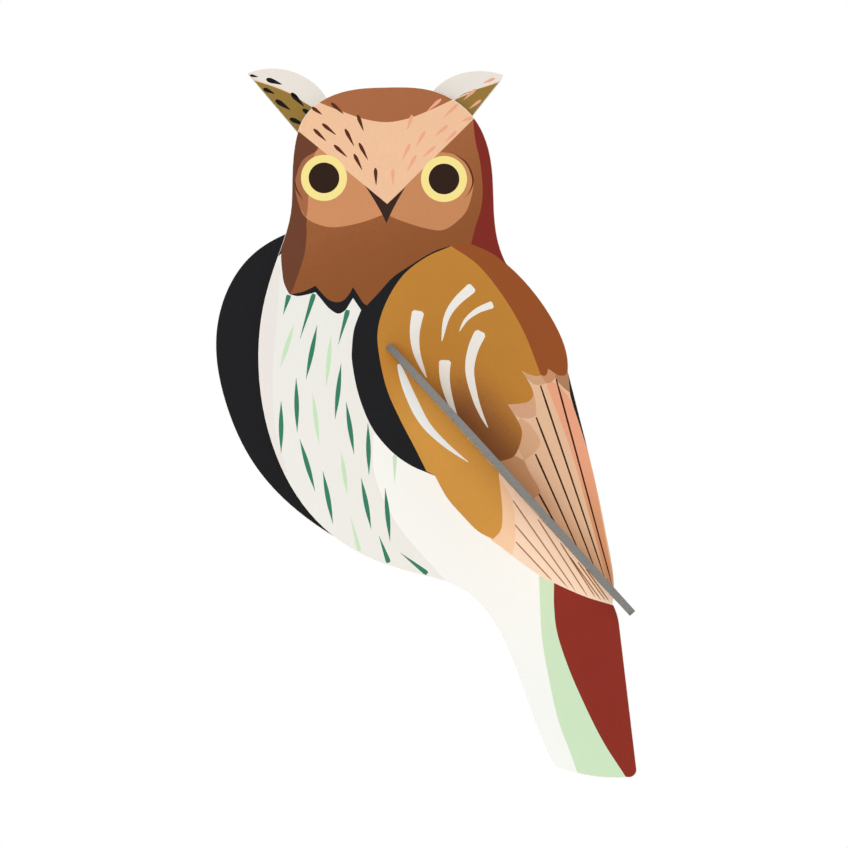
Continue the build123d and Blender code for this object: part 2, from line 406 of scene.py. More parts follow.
def add_marks(name, body, plane, strokes, ink, slot, nose=0.0, tail=0.7, count=12):
    """Ink strokes on a sheet. Each stroke is its greatest width and the points of its middle line.

    A nose of 0 points a stroke at both ends. Any other nose is the part of its length that rounds its start,
    and a small tail then keeps its width for longer. count is the number of points along each stroke.
    """
    verts, edges, widths = [], [], []
    for width, points in strokes:
        first = len(verts)
        verts += [(x * MM, y * MM, 0) for x, y in points]
        edges += [(first + i, first + i + 1) for i in range(len(points) - 1)]
        widths += [width * MM / 2] * len(points)
    mesh = bpy.data.meshes.new(f"{name}_lines")
    mesh.from_pydata(verts, edges, [])
    mesh.attributes.new("half_width", "FLOAT", "POINT").data.foreach_set("value", widths)
    guide = bpy.data.objects.new(f"{name}_lines", mesh)
    bpy.context.scene.collection.objects.link(guide)
    modifier = guide.modifiers.new("strokes", "NODES")
    modifier.node_group = STROKE_TREE
    modifier[STROKE_INPUTS["Blunt start"]] = 1.0 if nose else 0.0
    modifier[STROKE_INPUTS["Nose"]] = max(nose, 0.01)
    modifier[STROKE_INPUTS["Tail power"]] = tail
    modifier[STROKE_INPUTS["Rise"]] = INK_RISE / 2 * MM
    modifier[STROKE_INPUTS["Points"]] = count
    modifier[STROKE_INPUTS["Ink"]] = ink
    evaluated = guide.evaluated_get(bpy.context.evaluated_depsgraph_get())
    solid = bpy.data.meshes.new_from_object(evaluated)
    bpy.data.objects.remove(guide)
    for vertex in solid.vertices:
        x, y, z = vertex.co
        vertex.co = plane.place((x / MM, y / MM), z / MM)
    if plane.flipped:
        solid.flip_normals()
    solid.materials.clear()
    solid.materials.append(ink)
    piece = bpy.data.objects.new(name, solid)
    bpy.context.scene.collection.objects.link(piece)
    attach(piece, body)


# ---- materials ----
# Grain sizes in millimetres. Print dots, paper fibres and moulding grain are really finer than this, and are
# drawn as coarse as they need to be to show.
SCREEN_DOT = 0.3
INK_SPECKLE = 0.4
INK_CLOUD = 9.0
PAPER_FIBRE = 0.8
CUT_FIBRE = 0.3
BOARD_FIBRE = 0.5
BOARD_FLECK = 1.1
FOAM_CELL = 0.45
MOULD_GRAIN = 0.25
BRASS_WEAR = 1.5
KRAFT_FIBRE = 1.2
COAT_VEIL = 0.012          # light that a print's clear coat adds to every ink
DARKEST_INK = 0.0008


def new_material(name):
    """An empty material with its shader, and the piece's own coordinates to lay patterns on."""
    material = bpy.data.materials.new(name)
    material.use_nodes = True
    tree = material.node_tree
    tree.nodes.clear()
    shader = add(tree, "ShaderNodeBsdfPrincipled")
    add(tree, "ShaderNodeOutputMaterial", {"Surface": shader})
    place = add(tree, "ShaderNodeTexCoord").outputs["Object"]
    return material, tree, shader, place


def per_mm(size):
    """Noise scale, per metre, whose blotches are about this many millimetres across."""
    return 1 / (size * MM)


def toned(tree, shader, pattern, low, high):
    """Colour a material between two hex colours as a pattern goes from 0 to 1."""
    colour = add(tree, "ShaderNodeMix", {0: pattern, 6: linear(low), 7: linear(high)}, data_type="RGBA")
    tree.links.new(colour.outputs[2], shader.inputs["Base Color"])


def raised(tree, shader, height, strength, depth):
    """Bump of some millimetres' depth."""
    bump = add(tree, "ShaderNodeBump", {"Height": height, "Strength": strength, "Distance": depth * MM})
    tree.links.new(bump.outputs[0], shader.inputs["Normal"])


def slope(tree, place, direction, start, end):
    """0 to 1 between two distances in millimetres along a direction."""
    reach = add(tree, "ShaderNodeVectorMath", {0: place, 1: direction}, operation="DOT_PRODUCT")
    return add(tree, "ShaderNodeMapRange", {"Value": reach.outputs["Value"], "From Min": start * MM,
                                            "From Max": end * MM}, interpolation_type="SMOOTHSTEP")


def stippled(tree, place, amount):
    """Break a smooth change into the fine dots that a printer's screen makes of it."""
    dots = add(tree, "ShaderNodeTexNoise", {"Vector": place, "Scale": per_mm(SCREEN_DOT), "Detail": 1.0})
    centred = add(tree, "ShaderNodeMath", {0: dots, 1: 0.5}, operation="SUBTRACT")
    rest = add(tree, "ShaderNodeMath", {0: 1.0, 1: amount}, operation="SUBTRACT")
    middle = add(tree, "ShaderNodeMath", {0: amount, 1: rest}, operation="MULTIPLY")
    spread = add(tree, "ShaderNodeMath", {0: middle, 1: centred}, operation="MULTIPLY")
    return add(tree, "ShaderNodeMath", {0: spread, 1: 2.6, 2: amount}, operation="MULTIPLY_ADD",
               use_clamp=True)


def painted_light_near_fold(tree, place, across, along):
    """1 close to the blade's fold, where painted shadow and painted light are laid. across and along are
    (start, end) in millimetres from its upper end.
    """
    near = slope(tree, place, -LOWER_LEFT, *[BLADE_TOP.dot(-LOWER_LEFT) + reach for reach in across])
    beside = slope(tree, place, ALONG, *[BLADE_TOP.dot(ALONG) + reach for reach in along])
    return add(tree, "ShaderNodeMath", {0: near, 1: beside}, operation="MULTIPLY")


def under_coat(hex_colour):
    """The ink's own colour: the clear coat over it adds a little reflected light of its own."""
    return (*[max(channel - COAT_VEIL, DARKEST_INK) for channel in linear(hex_colour)[:3]], 1.0)


def printed(name, base, fade=None, painted_shadow=None, painted_glow=None, grain=0.05):
    """Matt coated paper, offset printed. It shows even flat ink with a fine speckle and a soft broken sheen.

    fade is (colour, direction, start, end). The two after it are each (colour, reach): first a painted
    shadow of the blade on the ink close above its fold, then painted light bounced off the blade on the ink
    close below it.
    """
    material, tree, shader, place = new_material(name)
    colour = under_coat(base)
    if fade:
        other, direction, start, end = fade
        amount = stippled(tree, place, slope(tree, place, direction, start, end))
        colour = add(tree, "ShaderNodeMix", {0: amount, 6: colour, 7: under_coat(other)},
                     data_type="RGBA").outputs[2]
    # Painted shadow of the blade above its fold and painted light below it, broken into print dots.
    for ink, side, full, along in ((painted_glow, -1, 2, (2, 24)), (painted_shadow, 1, 2.5, (12, 29))):
        if not ink:
            continue
        other, reach = ink
        zero = BLADE_TOP.dot(-LOWER_LEFT)
        kept = slope(tree, place, -LOWER_LEFT, zero - side * 0.2, zero + side * 0.2)
        amount = stippled(tree, place, painted_light_near_fold(tree, place, (side * reach, side * full), along))
        amount = add(tree, "ShaderNodeMath", {0: amount, 1: kept}, operation="MULTIPLY")
        colour = add(tree, "ShaderNodeMix", {0: amount, 6: colour, 7: under_coat(other)},
                     data_type="RGBA").outputs[2]
    speckle = add(tree, "ShaderNodeTexNoise", {"Vector": place, "Scale": per_mm(INK_SPECKLE), "Detail": 2.0})
    cloud = add(tree, "ShaderNodeTexNoise", {"Vector": place, "Scale": per_mm(INK_CLOUD), "Detail": 2.0})
    both = add(tree, "ShaderNodeMath", {0: cloud, 1: 0.6, 2: speckle},
               operation="MULTIPLY_ADD")
    value = add(tree, "ShaderNodeMapRange", {"Value": both, "From Min": 0.4, "From Max": 1.2,
                                             "To Min": 1 - grain, "To Max": 1 + grain})
    ink = add(tree, "ShaderNodeHueSaturation", {"Value": value, "Color": colour}).outputs[0]
    tree.links.new(ink, shader.inputs["Base Color"])
    fibre = add(tree, "ShaderNodeTexNoise", {"Vector": place, "Scale": per_mm(PAPER_FIBRE),
                                             "Detail": 4.0})
    rough = add(tree, "ShaderNodeMapRange", {"Value": fibre, "To Min": 0.52, "To Max": 0.68}).outputs[0]
    tree.links.new(rough, shader.inputs["Roughness"])
    raised(tree, shader, fibre, 0.25, 0.02)
    shader.inputs["Specular IOR Level"].default_value = 0.12
    return material


def greyboard():
    """Pressed waste-paper board. Its cut edge shows close grey fibres with dark and pale flecks."""
    material, tree, shader, place = new_material("greyboard")
    fibre = add(tree, "ShaderNodeTexNoise", {"Vector": place, "Scale": per_mm(BOARD_FIBRE), "Detail": 6.0,
                                             "Roughness": 0.7})
    tone = add(tree, "ShaderNodeMapRange", {"Value": fibre, "From Min": 0.3, "From Max": 0.7})
    grey = add(tree, "ShaderNodeMix", {0: tone, 6: linear("#767573"), 7: linear("#8a8986")},
               data_type="RGBA").outputs[2]
    flecks = add(tree, "ShaderNodeTexVoronoi", {"Vector": place, "Scale": per_mm(BOARD_FLECK)})
    dark = add(tree, "ShaderNodeMapRange", {"Value": flecks, "From Min": 0.16, "From Max": 0.1,
                                            "To Max": 0.5})
    colour = add(tree, "ShaderNodeMix", {0: dark, 6: grey, 7: linear("#55524e")}, data_type="RGBA")
    tree.links.new(colour.outputs[2], shader.inputs["Base Color"])
    raised(tree, shader, fibre, 0.6, 0.08)
    shader.inputs["Roughness"].default_value = 0.9
    shader.inputs["Specular IOR Level"].default_value = 0.2
    return material


def white_stock():
    """Bleached paper, cut. It gives the fine pale line round every die-cut print."""
    material, tree, shader, place = new_material("white_paper_stock")
    fibre = add(tree, "ShaderNodeTexNoise", {"Vector": place, "Scale": per_mm(CUT_FIBRE), "Detail": 3.0})
    toned(tree, shader, fibre, "#e9dfcf", "#f8f3ea")
    shader.inputs["Roughness"].default_value = 0.85
    return material


def foam():
    """Closed-cell foam, die cut. It shows fine open cells on its sides and a soft matt white."""
    material, tree, shader, place = new_material("closed_cell_foam")
    cells = add(tree, "ShaderNodeTexVoronoi", {"Vector": place, "Scale": per_mm(FOAM_CELL)})
    toned(tree, shader, cells, "#c9c7c0", "#f1f0ea")
    raised(tree, shader, cells, 0.7, 0.12)
    shader.inputs["Roughness"].default_value = 0.8
    shader.inputs["Sheen Weight"].default_value = 0.2
    return material


def moulded_nylon():
    """Moulded nylon, black. It shows a fine spark-eroded grain and a dull soft highlight."""
    material, tree, shader, place = new_material("moulded_nylon")
    grain = add(tree, "ShaderNodeTexNoise", {"Vector": place, "Scale": per_mm(MOULD_GRAIN),
                                             "Detail": 2.0})
    toned(tree, shader, grain, "#1b1b1d", "#2a2a2c")
    raised(tree, shader, grain, 0.3, 0.03)
    shader.inputs["Roughness"].default_value = 0.45
    shader.inputs["IOR"].default_value = 1.53
    return material


def rolled_brass():
    """Rolled sheet brass. It shows a warm shine, dulled in faint patches."""
    material, tree, shader, place = new_material("rolled_brass")
    wear = add(tree, "ShaderNodeTexNoise", {"Vector": place, "Scale": per_mm(BRASS_WEAR),
                                            "Detail": 4.0})
    toned(tree, shader, wear, "#b8924a", "#dcc07a")
    rough = add(tree, "ShaderNodeMapRange", {"Value": wear, "To Min": 0.18, "To Max": 0.42}).outputs[0]
    tree.links.new(rough, shader.inputs["Roughness"])
    shader.inputs["Metallic"].default_value = 1.0
    return material


def kraft_card():
    """Unbleached kraft card. It shows long brown fibres that run up and down."""
    material, tree, shader, place = new_material("kraft_card")
    stretch = add(tree, "ShaderNodeMapping", {"Vector": place, "Scale": (3.0, 3.0, 1.0)})
    fibre = add(tree, "ShaderNodeTexNoise", {"Vector": stretch, "Scale": per_mm(KRAFT_FIBRE), "Detail": 6.0,
                                             "Roughness": 0.65})
    toned(tree, shader, fibre, "#8d6c47", "#c19f74")
    raised(tree, shader, fibre, 0.5, 0.05)
    shader.inputs["Roughness"].default_value = 0.85
    return material


CORE = white_stock()
BOARD = greyboard()

# ---- inks of the figure ----
CHEST = printed("print_chest_white", "#eae9e3", grain=0.012)
CHEST_SIDE = printed("print_warm_white", "#e9e3de", grain=0.012)
BODY = printed("print_body_white", "#f3f4f0", grain=0.01)
TAIL_GREEN = printed("print_pale_green", "#cbe2c1", grain=0.02)
TAIL_RED = printed("print_tail_red", "#8a3329")
BLACK = printed("print_black", "#232325")
HEAD = printed("print_head_brown", "#a96a45", fade=("#8e5530", (0.35, 0, -0.94), -8, 44))
HEAD_SIDE = printed("print_dark_brown", "#6d4230")
DARK_RED = printed("print_dark_red", "#802e28")
DISC_LEFT = printed("print_left_face_disc", "#cd8e62")
DISC_SHADE = printed("print_disc_edge", "#a56948")
DISC_RIGHT = printed("print_right_face_disc", "#c6885c")
BROW = printed("print_brow_peach", "#efc19c")
BEAK = printed("print_beak_brown", "#3c2a24")
EYE_RING = printed("print_eye_yellow", "#f5e392", grain=0.02)
PUPIL = printed("print_pupil_brown", "#33241b")
# Feather ink in light, then a darker copy of it in painted shade for the field above the blade's fold, with
# more painted shadow close to the fold.
FEATHERS_LIGHT = printed("print_light_feathers", "#f2d7bf", grain=0.02)
FEATHERS_IN_PAINTED_SHADE = printed("print_feathers_painted_shade", "#e5bf9e", painted_shadow=("#dcb08c", 8))
TAN = printed("print_tan", "#f0cba6")
SALMON = printed("print_salmon_feather", "#eaa685", fade=("#d79972", (0, 0, -1), 95, 120))
# The last covert lies just above the blade's fold; its colour is partly print and partly painted shade of
# the blade.
LOBES = [printed(f"print_covert_{i}", colour) for i, colour in
         enumerate(("#d1a580", "#c8916c", "#af825f", "#d5a786", "#d9ad89", "#c8966e"))]
RUST = printed("print_rust", "#96522b")
OCHRE_PLAIN = printed("print_blade_ochre", "#be8439")
# The wing's ochre ink, with a painted shadow of the blade above its fold and painted light from the blade
# below it.
OCHRE_WITH_PAINTED_LIGHT = printed("print_ochre_painted_shade_and_glow", "#be8439", painted_shadow=("#8c5a36", 19), painted_glow=("#ce9849", 42))
EAR_CREAM = printed("print_ear_cream", "#e9e2d9", grain=0.015)
EAR_OCHRE = printed("print_ear_ochre", "#96783c")
BACK_PAPER = printed("uncoated_back_paper", "#eee8dc", grain=0.02)
BACK_FLECK = printed("print_back_fleck", "#d8cdb9", grain=0.02)

# ---- inks of the marks ----
DEEP_GREEN = printed("ink_deep_green", "#3a7f64")
SOFT_GREEN = printed("ink_soft_green", "#c6e3be")
NEAR_BLACK = printed("ink_near_black", "#1d1a18")
DARK_BROWN = printed("ink_dark_brown", "#5a3220")
PINK = printed("ink_salmon", "#eca88c")
WHITE_INK = printed("ink_white", "#efede6", grain=0.015)
COOL_WHITE_INK = printed("ink_cool_white", "#e8eeee", grain=0.015)
BORDER_INK = printed("ink_pale_border", "#f0cdb4")
SHAFT_DARK = printed("ink_feather_dark", "#462819")
SHAFT_LIGHT = printed("ink_feather_light", "#a0714a")


# ---- the figure's front ----
def figure_fields():
    """Colour fields of the figure's front, each painted over the ones before it."""
    crescent = [(-17.9, -57.4), (-18.8, -59.6), (-19.9, -62.9), (-20.4, -67), (-20.4, -72.2), (-18.5, -81.5),
                (-14.8, -90.4), (-9.5, -96.9), (-4.2, -100.8), (0.3, -102.8), (2.7, -103.8)]
    wing_low = [(2.7, -103.7), (6.2, -110), (10.9, -115.4), (14.8, -119.3), (18.8, -121.8), (24.1, -126),
                (31.9, -131.6), (36.1, -133.8), (44.5, -137.5), (51.5, -139.7)]
    cheek = [(-38.1, -52.8), (-39.5, -49.8), (-40.1, -45.6), (-40.3, -41.4), (-39.8, -36.2)]
    chest_side = shape([(-40.5, -45), (-41.5, -60), (-42.6, -75), (-42, -90), (-38.5, -103)],
                       ((-38.5, -103), (-60, -103), (-60, -45), (-40.5, -45)))
    body = shape([(-14.6, -92.4), (-14, -103.9), (-7.6, -117.6), (5.6, -133)],
                 ((5.6, -133), (7, -200), (70, -200), (70, -92.4), (-14.6, -92.4)))
    tail_green = shape([(31.9, -131.9), (32.2, -140.3), (32.8, -149.7), (34.7, -160.7), (37.2, -171.9),
                        (40.5, -180.9), (43.4, -189)],
                       ((43.4, -189), (70, -189), (70, -131.9), (31.9, -131.9)))
    tail_red = shape([(36.1, -133.8), (36.1, -140.3), (37, -147.8), (40, -157.1), (44.2, -166.9),
                      (49.8, -178.1), (56.8, -189)],
                     ((56.8, -189), (70, -189), (70, -133.8), (36.1, -133.8)))
    black = shape([(-37.9, -53), (-35.6, -53.5), (-32.8, -53), (-30.7, -52.4)],
                  [(-30.7, -52.4), (-29.1, -54.3), (-27, -56.8), (-24.5, -58.4), (-22.5, -57.6),
                   (-21.3, -55.9), (-20.2, -54)],
                  [(-20.2, -54), (-17.9, -57.4)], crescent,
                  ((2.7, -103.8), (7.3, -39.4), (-37.9, -50), (-37.9, -53)))
    shoulder_patch = shape(((-39.7, -36.4), (-40.3, -41.6), (-41.6, -42.9), (-46, -42), (-46, -36.4),
                            (-39.7, -36.4)))
    head = shape([(-38.1, -52.8), (-37.2, -52.9), (-34, -52.2), (-30.7, -50.6)],
                 [(-30.7, -50.6), (-28.6, -53), (-27, -54.5), (-24.9, -55.2), (-22.9, -54.7), (-21.3, -53),
                  (-20.2, -51)],
                 [(-20.2, -51), (-18.3, -53.9), (-17.4, -55.3), (-16.3, -56.1)],
                 [(-16.3, -56.1), (-13, -52.6), (-9.3, -48.5), (-5.2, -45.6), (2.2, -41.1), (7.3, -39.4)],
                 ((7.3, -39.4), (25, -45), (25, 8), (-45, 8), (-45, -36.2), (-39.8, -36.2)),
                 list(reversed(cheek)))
    head_side = shape(((-45, -6), (-35.7, -7.3), (-29.5, -12)),
                      [(-29.5, -12), (-30.5, -13.5), (-33.1, -32.1), (-33.1, -35.3), (-33.7, -41.4),
                       (-35.3, -46.8), (-37.2, -52.2)],
                      [(-37.2, -52.2), (-38.1, -52.8)], cheek, ((-39.8, -36.2), (-45, -36.2), (-45, -6)))
    dark_red = shape([(13.4, -3.2), (14, -9.5), (15.4, -16), (16.1, -23), (15.7, -28.8), (14, -34.4),
                      (12.9, -38.9)],
                     ((12.9, -38.9), (25, -46), (25, -3.2), (13.4, -3.2)))
    disc_left_edge = [(-30.5, -12.9), (-34.2, -15.4), (-36, -19.6), (-36.4, -23), (-35.3, -28),
                      (-33.3, -31.6)]
    disc_left = shape(disc_left_edge + [(-29.4, -33.6), (-24.9, -34.2), (-17.9, -32.9), (-11.5, -30.6)],
                      ((-11.5, -30.6), (-10.6, -20), (-25, -8), (-30.5, -12.9)))
    disc_edge = shape(disc_left_edge, [(-33.3, -31.6), (-32.9, -29.5), (-32.7, -26), (-32.2, -20)],
                      [(-32.2, -20), (-31.6, -15.5), (-30.5, -12.9)])
    disc_right = shape([(4.6, -13.2), (8.4, -13.9), (12, -16.5), (13.4, -20.4), (13.4, -23.6), (12, -28.8),
                        (9.5, -32.1), (5, -35), (-0.3, -34.4), (-6.4, -32.5), (-9.8, -31.1)],
                       ((-9.8, -31.1), (-10.6, -27), (-5, -18), (4.6, -13.2)))
    brow = shape(((-38, -5.2), (-10.6, -27.7), (13.9, -3.6), (20, 5), (8.1, 1.7)),
                 [(8.1, 1.7), (2.1, -1.1), (-4.2, -3.6), (-10.6, -4.8), (-17.1, -3.9), (-23.5, -1.7),
                  (-29.4, 0.6)],
                 ((-29.4, 0.6), (-38, 4), (-38, -5.2)))
    beak = shape(((-17, -22.4), (-10.6, -27.7), (-5.4, -22.9)),
                 [(-5.4, -22.9), (-8.3, -27.8), (-10.8, -33.1)],
                 [(-10.8, -33.1), (-13.6, -27.7), (-17, -22.4)])
    light_feathers = shape(wing_low, ((51.5, -139.7), (57, -141.4), (0, -78.7), (2.7, -103.7)))
    # The feather field above the blade's fold, in the darker copy of the feather ink: painted shade of the
    # blade.
    feathers = shape(((0, -78.7), (57, -141.4), (60, -120), (45, -70), (30, -70), (0, -78.7)))
    tan = shape([(21, -104.3), (24.4, -110.3), (25.2, -116.8), (25.2, -122.1), (24.4, -125.9)],
                ((24.4, -125.9), (18.5, -121.8), (21, -104.3)))
    salmon = shape([(34, -78.4), (39.4, -92.6), (42.6, -102.6), (44.8, -110.6), (46.8, -117.8),
                    (49.2, -126.6), (51.8, -135.8)],
                   [(51.8, -135.8), (52.4, -131.6)],
                   [(52.4, -131.6), (49.6, -116.2), (46.8, -102.2), (42, -85.4), (38.4, -79.5),
                    (35.6, -77.3)],
                   [(35.6, -77.3), (34, -78.4)])
    black_edge = shape([(39.3, -74.4), (40.8, -81.8), (43.7, -91), (45.7, -97.4), (47.3, -103.8),
                        (48.5, -108.5)],
                       ((48.5, -108.5), (50, -107), (45, -80), (42, -74), (39.3, -74.4)))
    coverts = (
        shape([(26.9, -74.3), (28.6, -76.7), (31.1, -78.4), (33.8, -78)],
              ((33.8, -78), (33, -75.6), (26.9, -74.3))),
        shape([(32.6, -76), (34, -78)], [(34, -78), (35.4, -77.5), (36.5, -76.3)],
              ((36.5, -76.3), (36.5, -73), (33, -73), (32.6, -76))),
        shape([(36.4, -73), (36.4, -76.4)], [(36.4, -76.4), (38.2, -78.6), (40.6, -80.6)],
              ((40.6, -80.6), (40, -74), (36.4, -73))),
        shape([(23.1, -83.8), (25, -86.5), (26.6, -87.5), (29.1, -87.7), (31, -87)],
              [(31, -87), (31, -83.7), (30.3, -80.5)], [(30.3, -80.5), (23.1, -83.8)]),
        shape([(26.6, -87.5), (29.7, -89.8), (32.2, -94), (31.5, -96.3), (30.1, -97.7), (27.8, -99.6)],
              ((27.8, -99.6), (24, -92), (26.6, -87.5))),
        shape([(20.4, -99.8), (22.7, -99.3), (25, -98.2), (27.8, -99.6)],
              [(27.8, -99.6), (29.2, -102.8), (31.5, -106.5), (32.2, -108.8), (30.1, -110.2)],
              [(30.1, -110.2), (20.4, -99.8)]),
    )
    crown = [(32.4, -75.6), (27.7, -63.6), (21.7, -53.3), (14.8, -44.8), (7.3, -39.5)]
    rust = shape([(7.3, -39.5), (10.2, -38.9), (13, -39), (19, -41.7), (23.2, -45)],
                 ((23.2, -45), (45, -50), (45, -74), (39.8, -74.6)),
                 [(39.8, -74.6), (39.2, -75.6), (37.5, -75.7), (36.2, -75), (35.2, -74.3), (34.4, -73.8)],
                 [(34.4, -73.8), (34.2, -75), (33.6, -75.8), (32.4, -75.6)], crown)
    ochre = shape([(7.3, -39.5), (0.3, -42.6), (-6.2, -47.7), (-10.9, -55.2), (-13.2, -62.7), (-12.9, -69.7),
                   (-10.8, -79.2), (-7.3, -87.4), (-3.1, -95.5), (0.4, -102.5)],
                  [(0.4, -102.5), (2.7, -103.7)], wing_low[:4] + [(19, -121.5)],
                  [(19, -121.5), (21.3, -118.7), (21.6, -112.8), (20.7, -104.2)],
                  [(20.7, -104.2), (20.4, -99.8)],
                  [(20.4, -99.8), (22.7, -99.3), (25, -98.2), (26.6, -94.9), (27.1, -91.2), (25.5, -87.5),
                   (23.1, -83.8)],
                  [(23.1, -83.8), (26.4, -83.6), (29.2, -82.9), (30.3, -80.5), (28.3, -76.3), (26.9, -74.3)],
                  [(26.9, -74.3), (29.1, -75.4), (31.4, -75.9), (32.4, -75.6)], crown)
    eyes = ((-28.3, -20.4), (5.3, -20.7))
    return [
        (None, CHEST), (chest_side, CHEST_SIDE), (body, BODY), (tail_green, TAIL_GREEN),
        (tail_red, TAIL_RED), (black, BLACK), (shoulder_patch, BLACK), (head, HEAD),
        (head_side, HEAD_SIDE), (dark_red, DARK_RED), (disc_left, DISC_LEFT), (disc_edge, DISC_SHADE),
        (disc_right, DISC_RIGHT), (brow, BROW), (beak, BEAK),
        *[(ring(eye, 6.45), EYE_RING) for eye in eyes], *[(ring(eye, 4.3), PUPIL) for eye in eyes],
        (light_feathers, FEATHERS_LIGHT), (feathers, FEATHERS_IN_PAINTED_SHADE), (tan, TAN), (salmon, SALMON),
        (black_edge, BLACK), *zip(coverts, LOBES), (rust, RUST), (ochre, OCHRE_WITH_PAINTED_LIGHT),
    ]


FIGURE = front_plane("figure_front_sheet")
add_sheet("figure_front_sheet", "figure", FIGURE, figure_fields(), CORE, SLOT_LIP)


# Marks as (start, end), or as (greatest width, points). A cut fleck ends bluntly at what covers its start.
CUT_FLECKS = [
    ((-38.1, -53.2), (-39.7, -58.6)), ((-31.1, -52.9), (-35, -65.4)), ((-21.6, -57.4), (-24.3, -67)),
    ((-10.2, -128.1), (-12.9, -120.6)), ((0.6, -131.2), (-6.9, -125.4)),
]
DEEP_FLECKS = [
    ((-30.2, -61.6), (-33.3, -76.7)), ((-23.5, -72.4), (-25.2, -87.9)), ((-36.1, -76.4), (-35.8, -91.6)),
    ((-40.3, -82.9), (-40.3, -97.4)), ((-22.1, -83.2), (-19.9, -97.7)), ((-35.1, -93.5), (-30.8, -108.1)),
    ((-16, -89), (-15.7, -103.5)), ((-28.6, -102.5), (-25.8, -117.2)), ((-17.9, -104.4), (-15.1, -118.7)),
    ((-11.2, -107.2), (-9.8, -122.1)),
]
SOFT_FLECKS = [
    ((-36.7, -61.3), (-40.6, -73.6)), ((-26.3, -64.4), (-27.7, -78.8)), ((-31.5, -80.4), (-29.7, -94.9)),
    ((-23.5, -97), (-21.8, -108.9)),
]
CUT_SOFT_FLECKS = [((-8.5, -98), (-8.5, -106)), ((-18.4, -124.8), (-21, -114.8))]
BROW_DASHES = [
    ((-31.7, -0.6), (-28.8, -2.7)), ((-26.3, 0.6), (-22.8, -2.5)), ((-18.9, -2.8), (-17.2, -7.3)),
    ((-28.8, -5.2), (-24.9, -8.4)), ((-31.2, -6.7), (-27.7, -10.1)), ((-22.4, -6.7), (-19.9, -11.5)),
    ((-18.5, -10.6), (-16, -15.4)), ((-25.5, -11.2), (-21.8, -14.6)), ((-19.9, -13.7), (-17.6, -18.2)),
    ((-13.9, -17.6), (-13.7, -22.4)),
]
PINK_DASHES = [
    ((4.5, 1.7), (0.6, -1.7)), ((-3.6, -2.8), (-5, -7)), ((9.2, 0.3), (5.3, -3.4)),
    ((6.4, -5.6), (2.8, -8.7)), ((0, -7.3), (-2.5, -11.5)), ((8.8, -7.3), (5.6, -10.4)),
    ((-4.2, -10.9), (-6.4, -15.4)), ((2.9, -11.5), (-0.6, -14.6)), ((-2.5, -14), (-5, -18.5)),
    ((-9, -17.9), (-9, -22.4)), ((13.2, -3.5), (10.2, -4.5)),
]
EYELIDS = [
    (0.5, [(7, -13), (11.5, -16.2), (13.4, -21), (12.3, -24.6), (10.8, -26)]),
    (0.4, [(-36.4, -20.6), (-36, -23.5), (-34, -26.8)]),
]
WING_STROKES = [
    (3.5, [(-1.9, -57.6), (-2.9, -63.8), (-2.2, -69.8), (0.4, -76.3)]),
    (3.0, [(13.4, -50.9), (8.7, -55.2), (6, -59.6), (4.7, -66.1)]),
    (2.1, [(19, -55.8), (14.8, -57.5), (11.5, -60.1), (9.6, -63.4)]),
    (3.4, [(15.7, -63.4), (13.4, -68.5), (12.5, -74.5), (13.9, -81.5), (15.7, -86.5), (17.6, -90.3)]),
    (3.4, [(5.6, -71.4), (5.5, -76.3), (6.7, -81.9), (9.2, -88.4)]),
]
LONG_STROKE = [(4.0, [(-7.4, -72.6), (-4.5, -80.5), (-0.2, -88.9), (5.5, -94.9), (12, -99.9)])]
DARK_SHAFTS = [
    ((36.7, -76.7), (52.6, -135.2)), ((32.3, -78.5), (50.5, -133)), ((31.1, -87.4), (47.9, -130.8)),
    ((30.9, -97.7), (43, -124.8)), ((31.9, -108.9), (37.4, -118.9)),
]
LIGHT_SHAFTS = [
    ((24.6, -110.7), (42.3, -136.3)), ((25.2, -117.5), (40.1, -135.3)), ((25.4, -122.3), (35.6, -133.2)),
    ((31.6, -116), (45.4, -137.4)), ((37.9, -122.6), (47.8, -138)), ((40.6, -126.6), (49.2, -138.5)),
    ((42.8, -128), (50.6, -138.8)), ((45, -129.8), (51.6, -139)),
]


FIGURE_MARKS = (
    ("chest_deep_flecks", same_width(1.3, DEEP_FLECKS), DEEP_GREEN, {}),
    ("chest_cut_flecks", same_width(1.5, CUT_FLECKS), DEEP_GREEN, {"nose": 0.02, "tail": 0.9}),
    ("chest_cut_soft_flecks", same_width(1.3, CUT_SOFT_FLECKS), SOFT_GREEN, {"nose": 0.02, "tail": 0.9}),
    ("chest_soft_flecks", same_width(1.2, SOFT_FLECKS), SOFT_GREEN, {}),
    ("brow_dashes", same_width(1.35, BROW_DASHES), DARK_BROWN, {"nose": 0.3}),
    ("brow_pink_dashes", same_width(1.3, PINK_DASHES), PINK, {"nose": 0.3}),
    ("eyelids", EYELIDS, DARK_BROWN, {"count": 24}),
    ("wing_strokes", WING_STROKES, WHITE_INK, {"nose": 0.03, "tail": 0.6, "count": 36}),
    ("wing_long_stroke", LONG_STROKE, COOL_WHITE_INK, {"nose": 0.4, "count": 28}),
    ("feather_shafts", same_width(0.55, DARK_SHAFTS), SHAFT_DARK, {"nose": 0.02, "tail": 0.2}),
    ("light_feather_shafts", same_width(0.38, LIGHT_SHAFTS), SHAFT_LIGHT, {"nose": 0.02, "tail": 0.08}),
)
for mark, strokes, ink, ends in FIGURE_MARKS:
    add_marks(mark, "figure", FIGURE, strokes, ink, "figure_print", **ends)

